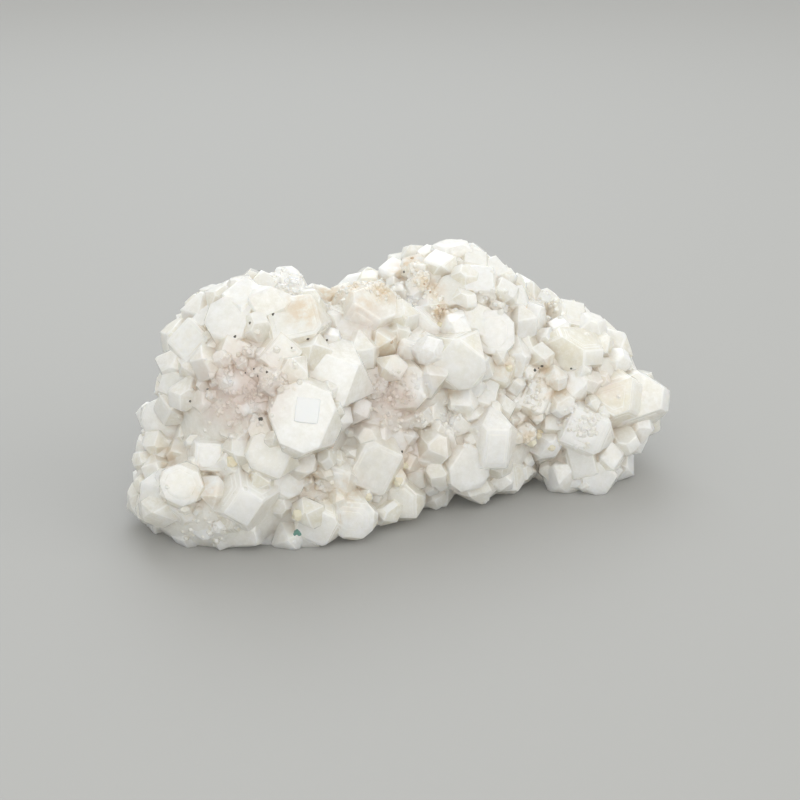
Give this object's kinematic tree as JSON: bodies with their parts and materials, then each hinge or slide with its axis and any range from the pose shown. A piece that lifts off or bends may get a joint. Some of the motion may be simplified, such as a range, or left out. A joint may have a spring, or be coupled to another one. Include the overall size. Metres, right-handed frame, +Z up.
{
  "type": "apophyllite crystal cluster",
  "caption": "Hand-sized cluster of blocky, pyramid-capped, milky apophyllite crystals grown together on a massive base that rests flat.",
  "frame": {"origin": "middle of the footprint, on the surface it rests on", "axes": "+X along the length towards the pointed end, -Y out of the front that the picture shows, +Z up"},
  "size_m": [0.1446, 0.07, 0.0634],
  "materials": {
    "apophyllite": "milky white to cream crystal faces, glassy to pearly"
  },
  "bodies": {
    "root": {"apophyllite_cluster": "apophyllite"}
  },
  "joints": []
}
